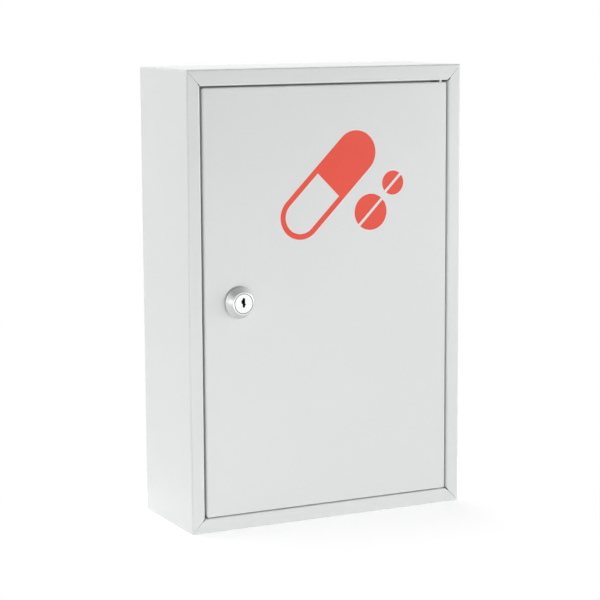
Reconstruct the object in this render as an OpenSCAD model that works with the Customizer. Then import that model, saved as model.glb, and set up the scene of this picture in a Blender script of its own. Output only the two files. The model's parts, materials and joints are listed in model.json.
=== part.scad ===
// Lockable wall cabinet for medicines: a folded sheet-steel wrapper with a mitred front frame,
// a pressed back, two shelves, and an inset door on pivot pins with a keyed cam lock.
// Millimetres. X is to the right, Y runs from the front towards the wall, Z is up.
// The origin is the centre of the wall face.

/* [Cabinet] */
// Overall width of the cabinet
cabinet_w = 300; // [260:1:400]
// Overall height of the cabinet
cabinet_h = 450; // [400:1:600]
// Depth from the wall face to the front frame
cabinet_d = 115; // [105:1:200]
// Thickness of the cabinet sheet
sheet_t = 1; // [0.8:0.1:1.4]
// Outside radius of the cabinet's folds
fold_r = 2; // [1.6:0.1:2.4]

/* [Front frame] */
// Visible width of the frame beside the door
frame_w = 14; // [12:0.5:18]
// Visible width of the frame below the door
frame_foot_w = 14.4; // [12:0.1:20]
// Visible width of the frame above the door
frame_top_w = 15.8; // [12:0.1:20]
// Width of the lip behind the door, folded from the frame's return
lip_w = 10; // [8:0.5:12]
// Gap between the closed door and that lip
lip_gap = 0.5; // [0.3:0.1:1]
// Free space between the end of the lip and the door's swing, by the hinge
swing_gap = 1; // [0.5:0.1:3]
// Width of the joint line along each mitre
mitre_line = 0.3; // [0.2:0.1:0.6]
// Width of the open notch at the inner end of each mitre
notch_w = 1.2; // [0.8:0.1:1.6]
// Length of that notch, along the mitre
notch_l = 3; // [2:0.5:5]

/* [Back] */
// Depth of the flanges round the back panel
back_flange = 12; // [8:1:18]
// Diameter of each hole for a wall screw
wall_hole_d = 7; // [5:0.5:8]
// Distance between the wall holes, left to right
wall_hole_x = 200; // [140:1:220]
// Distance between the wall holes, top to bottom
wall_hole_z = 350; // [300:1:350]

/* [Shelves] */
// Height of the lower shelf's surface above the underside of the cabinet
lower_shelf = 150; // [110:1:170]
// Height of the upper shelf's surface above the underside of the cabinet
upper_shelf = 300; // [270:1:330]
// Depth of a shelf, front to back
shelf_d = 86; // [70:1:86]
// Height of the lip folded down along a shelf's front edge
shelf_lip = 14; // [10:1:20]
// Depth of the hem folded in under that lip
shelf_hem = 7; // [5:0.5:9]
// Height of the upstand along a shelf's rear edge
shelf_upstand = 10; // [6:1:16]
// Free space between a shelf and the back panel, behind it and at each end
shelf_gap = 0.5; // [0.3:0.1:1.5]
// Width of each leg of the angles that carry a shelf
angle_leg = 15; // [14:1:20]
// Distance from a shelf's hem to the angles under it
angle_inset = 8.5; // [4:0.5:14]
// Diameter of a shelf rivet's shank
rivet_d = 4; // [3:0.1:4.8]
// Distance from an angle's end to its rivet
rivet_inset = 10; // [8:1:14]

/* [Door] */
// Thickness of the door sheet
door_t = 1; // [0.8:0.1:1.4]
// Gap between the door and the frame, on each side
door_gap = 2.2; // [1.5:0.1:2.5]
// Gap between the door and the frame above it
door_top_gap = 1.7; // [1.2:0.1:2.5]
// Gap between the door and the frame below it
door_foot_gap = 0.9; // [0.6:0.1:2.5]
// Depth of the door's folded edges
door_flange = 12; // [11.5:0.5:14]
// Width of the hem folded in round the back of the door
door_hem = 8; // [6:0.5:14]
// Outside radius of the door's folds
door_r = 1.8; // [1.6:0.1:2]
// Radius of the door's four corners, seen from the front
door_corner_r = 2.6; // [2:0.1:4]

/* [Pivots] */
// Distance from the hinge axis to the door's edge
pivot_inset = 5; // [4.8:0.1:6]
// Distance from the hinge axis to the door's front face
pivot_depth = 5; // [4.8:0.1:6]
// Diameter of the pivot pins
pin_d = 3.5; // [3:0.1:3.8]
// Diameter of the shoulder that carries the door on the lower pin
shoulder_d = 5; // [4.4:0.1:5.2]
// Thickness of the pins' heads
pin_head_t = 1.6; // [1:0.1:2.5]
// Length of the pins inside the door
pin_reach = 6; // [4:0.5:10]
// Wall thickness of the pivot bushes
bush_wall = 0.8; // [0.6:0.1:0.9]
// Clearance all round between pin and bush
running_gap = 0.05; // [0.02:0.01:0.1]

/* [Lock] */
// Distance from the lock's axis to the door's free edge
lock_inset = 36.5; // [32:0.5:48]
// Height of the lock's axis above the middle of the door
lock_z = 1.6; // [-20:0.1:40]
// Diameter of the trim ring where it meets the door
ring_base_d = 31; // [29:0.5:34]
// Height of the trim ring
ring_h = 8.6; // [6:0.1:12]
// Wall thickness of the trim ring
ring_wall = 1.4; // [1:0.1:1.8]
// Height of the foot that the trim ring stands on
ring_foot_h = 1; // [0.6:0.1:1.4]
// Distance that the foot is set back under the trim ring
ring_foot_in = 1.5; // [1:0.1:2]
// Diameter of the lock's head
head_d = 22; // [21:0.5:24]
// Thickness of the lock's head
head_t = 1.8; // [1.6:0.1:2.6]
// Depth of the seat for the plug's face in the lock's head
head_seat = 1.2; // [0.8:0.1:1.2]
// Diameter of the plug's face
face_d = 18.6; // [17:0.2:19.2]
// Diameter of the lock's barrel
barrel_d = 19; // [18:0.5:20]
// Width across the barrel's two flats
barrel_flats = 16; // [15:0.5:17]
// Diameter of the plug inside the barrel
plug_d = 13; // [12:0.5:13.5]
// Height of the keyway
keyway_h = 9.5; // [8:0.5:10.5]
// Height of the keyway's middle above the lock's axis
keyway_rise = 1; // [0:0.1:1]
// Width of the keyway
keyway_w = 2.6; // [1.8:0.1:2.8]
// Depth of the keyway from the front of the lock's head
keyway_l = 18; // [17:0.5:18]
// Thickness of the wafer tumblers
wafer_t = 1; // [0.8:0.1:1.2]
// Distance from one wafer to the next
wafer_pitch = 3; // [2.6:0.1:3]
// Size of the plug's square tail
tail = 7; // [6:0.5:7.5]
// Thickness of the washer that limits the turn
stop_washer_t = 1.6; // [1.2:0.1:2]
// Turn of the key from open to locked, in degrees
key_turn = 90; // [80:1:100]
// Width across the flats of the fixing nut
nut_af = 24; // [22:1:26]
// Thickness of the fixing nut
nut_t = 4; // [3:0.5:5]
// Thickness of the washer under the nut
washer_t = 0.8; // [0.5:0.1:1.2]
// How far the cam reaches in behind the lip
cam_overlap = 7.5; // [5:0.5:8]
// Width of the cam at its tip
cam_w = 13; // [10:0.5:16]
// Width of the cam round the lock's axis
cam_hub_d = 17; // [14:0.5:19]
// Thickness of the cam
cam_t = 2; // [1.5:0.1:2.5]
// Gap between the cam and the back of the lip
cam_gap = 0.3; // [0.2:0.1:0.6]
// Diameter of the screw that holds the cam
cam_screw_d = 5; // [4:0.5:5]

/* [Hidden] */

$fn = 96;
cut = 1; // how far a cutting shape runs past the face that it cuts

// The opening in the frame, and the door that fills it, as half sizes about the opening's middle.
open_x = cabinet_w / 2 - frame_w;
open_z = (cabinet_h - frame_foot_w - frame_top_w) / 2;
open_mid = (frame_foot_w - frame_top_w) / 2; // the height of that middle
door_x = open_x - door_gap;
door_z = open_z - (door_top_gap + door_foot_gap) / 2;
door_mid = open_mid - (door_top_gap - door_foot_gap) / 2; // the height of the door's own middle
front_y = -cabinet_d;

// The hinge axis, and the lock's axis.
pivot_x = door_x - pivot_inset;
pivot_y = front_y + pivot_depth;
lock_x = -door_x + lock_inset;

// The lip that the door closes on. It ends where the door's rear corner swings past.
lip_front = front_y + door_flange + lip_gap;
lip_back = lip_front + sheet_t;
swing_r = norm([pivot_inset, door_flange - pivot_depth]);
lip_end = pivot_x - sqrt(max(0, pow(swing_r, 2) - pow(lip_front - pivot_y, 2))) - swing_gap;

// Behind the door, measured along the lock's axis from the door's front face.
cam_l = lock_inset + door_gap - lip_w + cam_overlap;
cam_front = -(door_flange + lip_gap + sheet_t + cam_gap);
cam_back = cam_front - cam_t;
washer_gap = 0.1;
barrel_end = cam_front + stop_washer_t + washer_gap;
head_top = ring_h + head_t;
seat_gap = 0.5;
plug_gap = 0.05;
barrel_gap = 0.1;
spring_washer_t = 1.2;

// The angles under the shelves.
shelf_front = -sheet_t - shelf_gap - shelf_d;
angle_back = -back_flange - 2;
angle_l = angle_back - (shelf_front + shelf_hem + angle_inset);
angle_x = cabinet_w / 2 - sheet_t;
rivet_x = angle_x - angle_leg / 2 - 1;
rivet_y = [angle_back - rivet_inset, angle_back - angle_l + rivet_inset];
rivet_gap = 0.05;
rivet_head_d = 1.8 * rivet_d;
rivet_head_h = 0.35 * rivet_d;

cabinet_white = [0.86, 0.87, 0.86];
zinc = [0.66, 0.67, 0.68];
satin_chrome = [0.78, 0.79, 0.80];

// ---- Outlines ----

// A rectangle with its middle at the origin and round corners.
module rounded_rectangle(w, h, r) {
    square([w, h - 2 * r], center = true);
    square([w - 2 * r, h], center = true);
    for (x = [-1, 1], y = [-1, 1])
        translate([x * (w / 2 - r), y * (h / 2 - r)]) circle(r);
}

// A rectangle from y = front to y = back. The corners at each end have that end's radius.
module rounded_depth(w, front, back, front_r, back_r) {
    translate([-w / 2, front + front_r]) square([w, back - front - front_r - back_r]);
    for (end = [[front, front_r, 1], [back, back_r, -1]])
        if (end[1] > 0) {
            translate([-w / 2 + end[1], min(end[0], end[0] + end[2] * 2 * end[1])])
                square([w - 2 * end[1], 2 * end[1]]);
            for (x = [-1, 1])
                translate([x * (w / 2 - end[1]), end[0] + end[2] * end[1]]) circle(end[1]);
        }
}

// The outline of a funnel from y = front to y = back, flared outwards at its front end.
module flared_depth(w, front, back, flare_r, back_r) {
    rounded_depth(w, front - cut, back, 0, back_r);
    for (side = [-1, 1])
        scale([side, 1])
            difference() {
                translate([w / 2 - cut, front]) square([cut + flare_r, flare_r]);
                translate([w / 2 + flare_r, front + flare_r]) circle(flare_r);
            }
}

// A sheet folded square at every point of a path, with the outside radius r at each fold.
// The path runs along the middle of the sheet, parallel to the axes.
module folded_sheet(path, t, r) {
    last = len(path) - 1;
    mid_r = r - t / 2;
    function along(i) = (path[i + 1] - path[i]) / norm(path[i + 1] - path[i]);
    for (i = [0 : last - 1]) {
        start = path[i] + (i > 0 ? mid_r : 0) * along(i);
        end = path[i + 1] - (i < last - 1 ? mid_r : 0) * along(i);
        side = t / 2 * [abs(along(i)[1]), abs(along(i)[0])];
        low = [min(start[0], end[0]), min(start[1], end[1])] - side;
        high = [max(start[0], end[0]), max(start[1], end[1])] + side;
        translate(low) square(high - low);
    }
    for (i = [1 : last - 1]) {
        outward = along(i - 1) - along(i);
        translate(path[i] - mid_r * outward)
            intersection() {
                difference() {
                    circle(r);
                    if (r > t) circle(r - t);
                }
                translate([min(0, outward[0]) * r, min(0, outward[1]) * r]) square(r);
            }
    }
}

// A pie slice from angle a to angle b, wider than any radius it is used with.
module slice(a, b, r) {
    steps = ceil((b - a) / 30);
    polygon([[0, 0], for (i = [0 : steps]) 2 * r * [cos(a + (b - a) * i / steps), sin(a + (b - a) * i / steps)]]);
}

// A circle with two flats, left and right.
module two_flats(d, flats) {
    intersection() {
        circle(d = d);
        square([flats, 2 * d], center = true);
    }
}

// ---- Shapes that more than one piece uses ----

// A box from y = front to y = back with every edge rounded: corner_r is seen from the front,
// and the other two radii are those of its front and back edges.
module rounded_box(w, h, front, back, corner_r, front_r, back_r) {
    intersection() {
        translate([0, back + cut, 0]) rotate([90, 0, 0])
            linear_extrude(back - front + 2 * cut) rounded_rectangle(w, h, corner_r);
        translate([0, 0, -h / 2 - cut])
            linear_extrude(h + 2 * cut) rounded_depth(w, front, back, front_r, back_r);
        translate([w / 2 + cut, 0, 0]) rotate([0, -90, 0])
            linear_extrude(w + 2 * cut) rounded_depth(h, front, back, front_r, back_r);
    }
}

// A rectangular funnel through the frame, from y = front to y = back.
module funnel(w, h, front, back, flare_r, back_r) {
    intersection() {
        translate([0, 0, -h / 2 - flare_r - cut])
            linear_extrude(h + 2 * flare_r + 2 * cut) flared_depth(w, front, back, flare_r, back_r);
        translate([w / 2 + flare_r + cut, 0, 0]) rotate([0, -90, 0])
            linear_extrude(w + 2 * flare_r + 2 * cut) flared_depth(h, front, back, flare_r, back_r);
    }
}

// Sets a shape drawn with Z pointing out of the door at a place on the door's front face.
module on_door(x, z) {
    translate([x, front_y, door_mid + z]) rotate([90, 0, 0]) children();
}

// A shape drawn for the upper pivot, turned over for the lower one. Its heights are measured from
// the door's middle.
module at_pivot(side) {
    translate([pivot_x, pivot_y, door_mid]) scale([1, 1, side]) children();
}

// The gap between the door and the frame at one end, and the height of the opening's edge there.
function end_gap(side) = side > 0 ? door_top_gap : door_foot_gap;
function open_end(side) = door_z + end_gap(side);

// ---- Cabinet ----

// The open joint at one corner of the frame, where the upright meets a member of the given width:
// a line along the mitre, a notch at its inner end, and the slots between the two returns and
// between the two lips.
module mitre_cut(member_w) {
    diagonal = sqrt(2);
    mitre = atan2(member_w, frame_w);
    end = fold_r + mitre_line;
    line_l = min((frame_w - end) / cos(mitre), (member_w - end) / sin(mitre));
    lip_l = lip_w * diagonal;
    through = lip_back - front_y + 2 * cut;
    translate([open_x, front_y - cut, open_z]) {
        rotate([0, -mitre, 0]) {
            translate([0, 0, -mitre_line / 2]) cube([line_l, sheet_t + 2 * cut, mitre_line]);
            translate([-cut, 0, -notch_w / 2]) cube([cut + notch_l, sheet_t + 2 * cut, notch_w]);
            translate([-cut, 0, -notch_w / 2]) cube([2 * cut + sheet_t * diagonal, through, notch_w]);
        }
        rotate([0, -45, 0]) translate([-lip_l - cut, lip_front - front_y, -mitre_line / 2])
            cube([lip_l + 2 * cut, sheet_t + 2 * cut, mitre_line]);
    }
}

// The frame's return and the lip, before the opening is cut. The lip stops short of the hinge,
// and so does its fold.
module return_and_lip() {
    fold_start = lip_back - fold_r;
    difference() {
        funnel(2 * (open_x + sheet_t), 2 * (open_z + sheet_t), front_y + sheet_t, lip_back, fold_r - sheet_t, fold_r);
        translate([lip_end, fold_start, -cabinet_h / 2]) cube([cabinet_w / 2, fold_r + cut, cabinet_h]);
    }
}

module cabinet_wrapper() {
    color(cabinet_white)
        difference() {
            rounded_box(cabinet_w, cabinet_h, front_y, 0, fold_r, fold_r, 0);
            // The space inside, round the frame's return.
            difference() {
                rounded_box(cabinet_w - 2 * sheet_t, cabinet_h - 2 * sheet_t, front_y + sheet_t, cut,
                    fold_r - sheet_t, fold_r - sheet_t, 0);
                translate([0, 0, open_mid]) return_and_lip();
            }
            translate([0, 0, open_mid]) {
                // The recess that the door closes into, and the opening inside the lip.
                funnel(2 * open_x, 2 * open_z, front_y, lip_front, fold_r, fold_r - sheet_t);
                translate([-open_x + lip_w, front_y, -open_z + lip_w])
                    cube([2 * (open_x - lip_w), lip_back + cut - front_y, 2 * (open_z - lip_w)]);
                for (x = [-1, 1]) {
                    scale([x, 1, 1]) mitre_cut(frame_top_w);
                    scale([x, 1, -1]) mitre_cut(frame_foot_w);
                }
            }
            for (side = [-1, 1])
                at_pivot(side) translate([0, 0, open_end(side) - cut / 2]) cylinder(d = pin_d, h = sheet_t + cut);
        }
}

module back_panel() {
    w = cabinet_w - 2 * sheet_t;
    h = cabinet_h - 2 * sheet_t;
    color(cabinet_white)
        difference() {
            rounded_box(w, h, -back_flange, 0, fold_r, 0, fold_r);
            rounded_box(w - 2 * sheet_t, h - 2 * sheet_t, -back_flange - cut, -sheet_t,
                fold_r - sheet_t, 0, fold_r - sheet_t);
            for (x = [-1, 1], z = [-1, 1])
                translate([x * wall_hole_x / 2, cut, z * wall_hole_z / 2]) rotate([90, 0, 0])
                    cylinder(d = wall_hole_d, h = sheet_t + 2 * cut);
        }
}

// A shelf with its surface at height z: an upstand behind, and a lip with a hem in front.
module shelf(z) {
    half_t = sheet_t / 2;
    rear = -sheet_t - shelf_gap - half_t;
    front = shelf_front + half_t;
    length = cabinet_w - 4 * sheet_t - 2 * shelf_gap; // between the back panel's flanges
    color(cabinet_white)
        difference() {
            translate([length / 2, 0, z]) rotate([0, -90, 0]) linear_extrude(length)
                folded_sheet([
                    [shelf_upstand, rear], [-half_t, rear], [-half_t, front],
                    [half_t - shelf_lip, front], [half_t - shelf_lip, front + shelf_hem],
                ], sheet_t, fold_r);
            rivet_places(z) cylinder(d = rivet_d + 2 * rivet_gap, h = 4 * sheet_t, center = true);
        }
}

// Repeats its children at the four rivets of a shelf, on the shelf's surface.
module rivet_places(z) {
    for (x = [-rivet_x, rivet_x], y = rivet_y)
        translate([x, y, z]) children();
}

// The two angles that carry a shelf, one on each side of the cabinet.
module shelf_angles(z) {
    half_t = sheet_t / 2;
    color(cabinet_white)
        difference() {
            for (side = [-1, 1])
                scale([side, 1, 1]) translate([0, angle_back, z - sheet_t]) rotate([90, 0, 0])
                    linear_extrude(angle_l)
                        folded_sheet([
                            [angle_x - angle_leg, -half_t], [angle_x - half_t, -half_t],
                            [angle_x - half_t, -angle_leg],
                        ], sheet_t, fold_r);
            rivet_places(z) cylinder(d = rivet_d + 2 * rivet_gap, h = 6 * sheet_t, center = true);
        }
}

// A blind rivet: a low dome on the shelf, and the set end under the angle.
module shelf_rivets(z) {
    dome_r = (pow(rivet_head_d / 2, 2) + pow(rivet_head_h, 2)) / (2 * rivet_head_h);
    color(zinc)
        rivet_places(z) {
            rotate_extrude()
                intersection() {
                    translate([0, rivet_head_h - dome_r]) circle(dome_r);
                    square([rivet_head_d / 2, rivet_head_h]);
                }
            translate([0, 0, -2 * sheet_t - rivet_head_h]) cylinder(d = rivet_d, h = 2 * sheet_t + rivet_head_h);
            translate([0, 0, -2 * sheet_t - 2 * rivet_head_h]) cylinder(d = 1.5 * rivet_d, h = 2 * rivet_head_h);
        }
}

// A pin riveted into the frame's return. The lower one has a shoulder that carries the door.
pin_head_d = 2 * (pivot_depth - fold_r); // the head lies clear of the frame's fold
module hinge_pin(side) {
    head_z = open_end(side) + sheet_t;
    end_z = door_z - pin_reach;
    shoulder_h = end_gap(side) - running_gap;
    color(zinc)
        at_pivot(side) {
            translate([0, 0, end_z + pin_d / 4]) cylinder(d = pin_d, h = head_z + pin_head_t / 2 - end_z - pin_d / 4);
            translate([0, 0, end_z]) cylinder(d1 = pin_d / 2, d2 = pin_d, h = pin_d / 4);
            translate([0, 0, head_z]) cylinder(d1 = pin_head_d, d2 = pin_head_d - pin_head_t / 2, h = pin_head_t);
            if (side < 0)
                translate([0, 0, open_end(side) - shoulder_h]) cylinder(d = shoulder_d, h = shoulder_h);
        }
}

// A nylon bush, pushed into the door's folded edge from inside. Its collar fits between the folds,
// with a flat beside the door's corner.
bush_d = pin_d + 2 * running_gap + 2 * bush_wall;
module hinge_bush(side) {
    collar_t = 1.2;
    collar_gap = 0.05;
    collar_r = min(pivot_inset, pivot_depth) - door_r - collar_gap;
    flat_x = pivot_inset - door_corner_r - collar_gap;
    color("white")
        at_pivot(side)
            difference() {
                translate([0, 0, door_z - door_t - collar_t]) union() {
                    cylinder(d = bush_d, h = door_t + collar_t);
                    linear_extrude(collar_t) intersection() {
                        circle(collar_r);
                        translate([flat_x - 3 * collar_r, -2 * collar_r]) square([3 * collar_r, 4 * collar_r]);
                    }
                }
                translate([0, 0, door_z - door_t - collar_t - cut])
                    cylinder(d = pin_d + 2 * running_gap, h = door_t + collar_t + 2 * cut);
            }
}

// ---- Door ----

// The slot along the mitre between two hems at one corner of the door.
module hem_mitre() {
    diagonal = sqrt(2);
    hem_l = (door_hem - door_r - mitre_line) * diagonal;
    translate([door_x - door_hem, front_y + door_flange - door_t - cut, door_z - door_hem]) rotate([0, -45, 0])
        translate([-cut, 0, -mitre_line / 2]) cube([hem_l + cut, door_t + 2 * cut, mitre_line]);
}

// A tray of folded sheet, with its edges hemmed in at the back.
module door_panel() {
    back_y = front_y + door_flange;
    color(cabinet_white)
        difference() {
            translate([0, 0, door_mid]) difference() {
                rounded_box(2 * door_x, 2 * door_z, front_y, back_y, door_corner_r, door_r, door_r);
                rounded_box(2 * (door_x - door_t), 2 * (door_z - door_t), front_y + door_t, back_y - door_t,
                    door_corner_r - door_t, door_r - door_t, door_r - door_t);
                translate([-door_x + door_hem, back_y - door_t - cut, -door_z + door_hem])
                    cube([2 * (door_x - door_hem), door_t + 2 * cut, 2 * (door_z - door_hem)]);
                for (x = [-1, 1], z = [-1, 1]) scale([x, 1, z]) hem_mitre();
            }
            for (side = [-1, 1])
                at_pivot(side)
                    translate([0, 0, door_z - 2 * door_t]) cylinder(d = bush_d, h = 3 * door_t);
            on_door(lock_x, lock_z)
                linear_extrude(4 * door_t, center = true)
                    two_flats(barrel_d + 2 * barrel_gap, barrel_flats + 2 * barrel_gap);
        }
}

// ---- Lock ----

// A hollow cone up to the underside of the lock's head. It stands on the door on a foot set back
// under its edge.
module lock_trim_ring() {
    base_r = ring_base_d / 2;
    foot_r = base_r - ring_foot_in;
    top_r = head_d / 2;
    bore_r = barrel_d / 2 + barrel_gap;
    edge_h = 0.6;
    color(satin_chrome)
        on_door(lock_x, lock_z) rotate_extrude()
            difference() {
                polygon([[bore_r, ring_h], [top_r, ring_h], [base_r - edge_h, ring_foot_h + 2 * edge_h],
                    [base_r, ring_foot_h + edge_h], [base_r, ring_foot_h], [foot_r, ring_foot_h],
                    [foot_r, 0], [bore_r, 0]]);
                polygon([[bore_r - cut, ring_h - ring_wall], [top_r - ring_wall, ring_h - ring_wall],
                    [foot_r - ring_wall, ring_foot_h + edge_h], [foot_r - ring_wall, -cut], [bore_r - cut, -cut]]);
            }
}

// The head, and the barrel behind it with two flats, the plug's bore and the lug that limits the turn.
lug_inner_d = plug_d + 2.6;
lug_half_angle = 30;
module lock_housing() {
    edge_r = 0.5;
    color(satin_chrome)
        on_door(lock_x, lock_z) difference() {
            union() {
                rotate_extrude() {
                    translate([0, ring_h]) square([head_d / 2, head_t - edge_r]);
                    translate([0, ring_h]) square([head_d / 2 - edge_r, head_t]);
                    translate([head_d / 2 - edge_r, head_top - edge_r]) circle(edge_r);
                }
                translate([0, 0, barrel_end]) linear_extrude(head_top - head_seat - barrel_end)
                    two_flats(barrel_d, barrel_flats);
                translate([0, 0, cam_front + washer_gap])
                    linear_extrude(barrel_end - cam_front) intersection() {
                        two_flats(barrel_d, barrel_flats);
                        slice(90 - lug_half_angle, 90 + lug_half_angle, barrel_d);
                        difference() {
                            circle(d = barrel_d);
                            circle(d = lug_inner_d);
                        }
                    }
            }
            translate([0, 0, head_top - head_seat]) cylinder(d = face_d + 2 * seat_gap, h = head_seat + cut);
            translate([0, 0, cam_front]) cylinder(d = plug_d, h = head_top - cam_front);
        }
}

module lock_washer() {
    color(zinc)
        on_door(lock_x, lock_z) translate([0, 0, -door_t - washer_t])
            difference() {
                cylinder(d = nut_af + 2, h = washer_t);
                translate([0, 0, -cut]) cylinder(d = barrel_d + 2 * barrel_gap, h = washer_t + 2 * cut);
            }
}

// A hexagon nut with both ends chamfered.
module lock_nut() {
    corner_d = nut_af / cos(30);
    color(zinc)
        on_door(lock_x, lock_z) translate([0, 0, -door_t - washer_t - nut_t])
            difference() {
                intersection() {
                    cylinder(d = corner_d, h = nut_t, $fn = 6);
                    rotate_extrude()
                        polygon([[0, 0], [nut_af / 2, 0], [corner_d / 2 + 0.5, 1], [corner_d / 2 + 0.5, nut_t - 1],
                            [nut_af / 2, nut_t], [0, nut_t]]);
                }
                translate([0, 0, -cut]) cylinder(d = barrel_d + barrel_gap, h = nut_t + 2 * cut);
            }
}

// The keyway's outline: an upright slot with a round ward on the left and a small one on the right.
module keyway_outline() {
    translate([0, keyway_rise]) keyway_slot();
}

module keyway_slot() {
    square([keyway_w, keyway_h - keyway_w], center = true);
    for (y = [-1, 1])
        translate([0, y * (keyway_h - keyway_w) / 2]) circle(d = keyway_w);
    intersection() {
        translate([0, 0.1 * keyway_h]) circle(d = 2 * keyway_w);
        translate([-keyway_h, -keyway_h / 2]) square([keyway_h, keyway_h]);
    }
    translate([keyway_w / 2, -0.17 * keyway_h]) rotate(45) square(0.55 * keyway_w, center = true);
}

// The wafers stand in five slots across the plug, from just behind its face.
wafer_count = 5;
wafer_w = 0.64 * plug_d;
wafer_slot_gap = 0.1;
thread_l = head_top - keyway_l - cam_back - 1.5; // the screw's hole stops short of the keyway
first_wafer = head_top - head_seat - 3.4;
module wafer_places() {
    for (i = [0 : wafer_count - 1])
        translate([0, 0, first_wafer - i * wafer_pitch]) children();
}

module lock_plug() {
    plug_r = plug_d / 2 - plug_gap;
    color(satin_chrome)
        on_door(lock_x, lock_z) difference() {
            union() {
                translate([0, 0, head_top - head_seat]) cylinder(d = face_d, h = head_seat);
                translate([0, 0, barrel_end]) cylinder(r = plug_r, h = head_top - head_seat - barrel_end);
                translate([-tail / 2, -tail / 2, cam_back + washer_gap])
                    cube([tail, tail, barrel_end - cam_back - washer_gap]);
            }
            translate([0, 0, head_top - keyway_l]) linear_extrude(keyway_l + cut) keyway_outline();
            wafer_places() translate([0, 0, wafer_slot_gap / 2])
                cube([wafer_w + wafer_slot_gap, plug_d, wafer_t + wafer_slot_gap], center = true);
            translate([0, 0, cam_back - cut]) cylinder(d = cam_screw_d, h = thread_l + cut);
        }
}

// A wafer: a plate that fills its slot across the plug, with a window for the key.
module lock_wafers() {
    window_w = keyway_w + 2.2;
    window_h = keyway_h - 1;
    color("gold")
        on_door(lock_x, lock_z) wafer_places()
            linear_extrude(wafer_t, center = true) difference() {
                intersection() {
                    square([wafer_w, plug_d], center = true);
                    circle(r = plug_d / 2 - 2 * plug_gap);
                }
                translate([0, keyway_rise]) square([window_w, window_h], center = true);
            }
}

// A washer on the square tail. Its wide part meets the barrel's lug at each end of the turn.
module lock_stop_washer() {
    free = 1;
    start = 90 + lug_half_angle + key_turn + free;
    color(zinc)
        on_door(lock_x, lock_z) translate([0, 0, cam_front]) linear_extrude(stop_washer_t)
            difference() {
                union() {
                    circle(d = lug_inner_d - 0.4);
                    intersection() {
                        circle(d = barrel_d - 0.2);
                        slice(start, 450 - lug_half_angle - free, barrel_d);
                    }
                }
                square(tail, center = true);
            }
}

// The cam hangs down while the door is unlocked, and turns in behind the frame's return to lock it.
module lock_cam() {
    color(zinc)
        on_door(lock_x, lock_z) translate([0, 0, cam_back]) linear_extrude(cam_t)
            difference() {
                union() {
                    circle(d = cam_hub_d);
                    translate([-cam_w / 2, -cam_l + cam_w / 2]) square([cam_w, cam_l - cam_w / 2]);
                    translate([0, -cam_l + cam_w / 2]) circle(d = cam_w);
                }
                square(tail, center = true);
            }
}

screw_seat = cam_back - spring_washer_t;

module cam_spring_washer() {
    color(zinc)
        on_door(lock_x, lock_z) translate([0, 0, screw_seat])
            difference() {
                cylinder(d = 2.2 * cam_screw_d, h = spring_washer_t);
                translate([0, 0, -cut]) cylinder(d = cam_screw_d + 0.2, h = spring_washer_t + 2 * cut);
                // The split that makes the washer a spring.
                rotate(30) translate([0, -0.4, -cut]) cube([2 * cam_screw_d, 0.8, spring_washer_t + 2 * cut]);
            }
}

// A pan-head screw with a cross recess, into the end of the plug.
module cam_screw() {
    screw_head_d = 1.9 * cam_screw_d;
    screw_head_h = 0.6 * cam_screw_d;
    edge_r = 0.25 * cam_screw_d;
    color(zinc)
        on_door(lock_x, lock_z) difference() {
            union() {
                translate([0, 0, screw_seat]) cylinder(d = cam_screw_d - 0.1, h = spring_washer_t + thread_l - 0.5);
                translate([0, 0, screw_seat]) scale([1, 1, -1]) rotate_extrude() {
                    square([screw_head_d / 2, screw_head_h - edge_r]);
                    square([screw_head_d / 2 - edge_r, screw_head_h]);
                    intersection() {
                        translate([screw_head_d / 2 - edge_r, screw_head_h - edge_r]) circle(edge_r);
                        translate([screw_head_d / 2 - edge_r, screw_head_h - edge_r]) square(edge_r);
                    }
                }
            }
            for (turn = [0, 90])
                rotate(turn) translate([0, 0, screw_seat - screw_head_h])
                    cube([0.9 * cam_screw_d, 0.2 * cam_screw_d, screw_head_h], center = true);
        }
}

cabinet_wrapper();
back_panel();
shelf(lower_shelf - cabinet_h / 2);
shelf(upper_shelf - cabinet_h / 2);
shelf_angles(lower_shelf - cabinet_h / 2);  // lower_shelf_angles
shelf_angles(upper_shelf - cabinet_h / 2);  // upper_shelf_angles
shelf_rivets(lower_shelf - cabinet_h / 2);  // lower_shelf_rivets
shelf_rivets(upper_shelf - cabinet_h / 2);  // upper_shelf_rivets
hinge_pin(1);  // upper_hinge_pin
hinge_pin(-1);  // lower_hinge_pin
door_panel();
hinge_bush(1);  // upper_hinge_bush
hinge_bush(-1);  // lower_hinge_bush
lock_trim_ring();
lock_housing();
lock_washer();
lock_nut();
lock_plug();
lock_wafers();
lock_stop_washer();
lock_cam();
cam_spring_washer();
cam_screw();
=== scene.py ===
"""Dresses the lockable medicine cabinet: powder coat, plated lock parts, the printed symbol on the
door, the small marks that the making leaves, and a plain studio round it.

All lengths are metres in the cabinet's own frame: X to the right, Y towards the wall, Z up, with the
origin at the centre of the wall face. The panel in the sidebar runs each step by itself.
"""

import json
import math

import bpy
import numpy as np
from bpy.props import FloatProperty, FloatVectorProperty, PointerProperty
from mathutils import Matrix, Vector

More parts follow.
